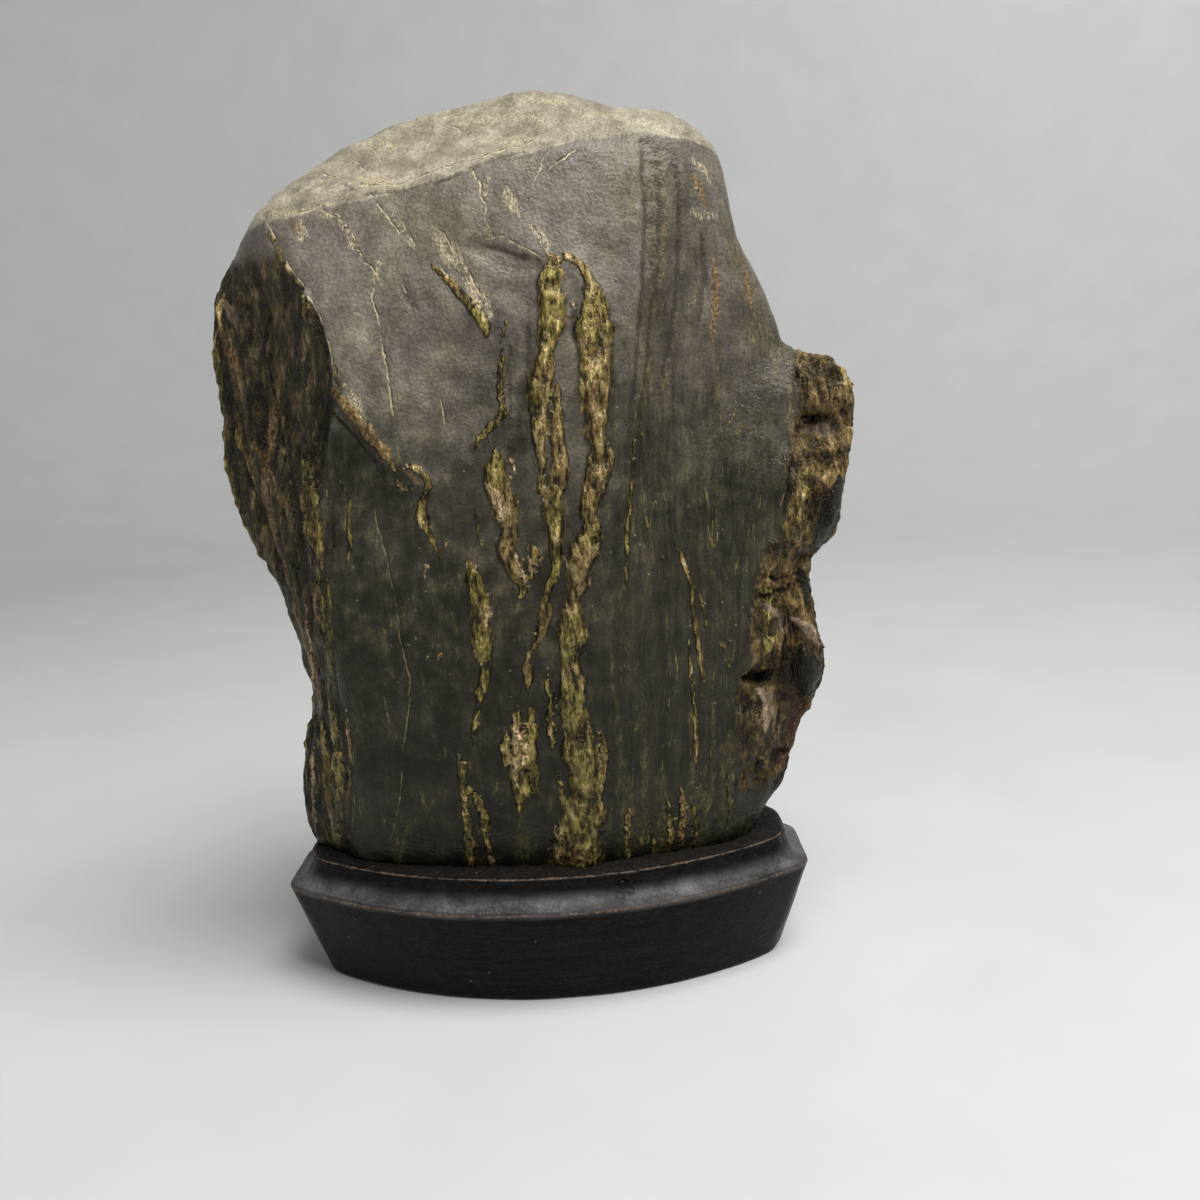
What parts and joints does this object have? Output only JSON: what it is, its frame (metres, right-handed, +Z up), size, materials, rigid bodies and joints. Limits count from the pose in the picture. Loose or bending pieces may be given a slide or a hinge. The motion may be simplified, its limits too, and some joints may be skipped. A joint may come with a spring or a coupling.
{
  "type": "viewing stone on a carved wooden stand",
  "caption": "Upright dark slate-like viewing stone with raised ochre veins, a sloping crown and knobs down one edge, seated in a low carved black wooden stand.",
  "frame": {"origin": "centre of the flat underside of the stand", "axes": "+Z up, +X to the right of someone facing the veined front, +Y from the front to the back"},
  "size_m": [0.134, 0.0636, 0.1853],
  "materials": {
    "slate": "waxed natural stone, satin on the lower face and dry on the upper face",
    "lacquered_wood": "black satin lacquer, worn to brown wood along the edges"
  },
  "bodies": {
    "root": {"stone": "slate", "stand": "lacquered_wood"}
  },
  "joints": []
}
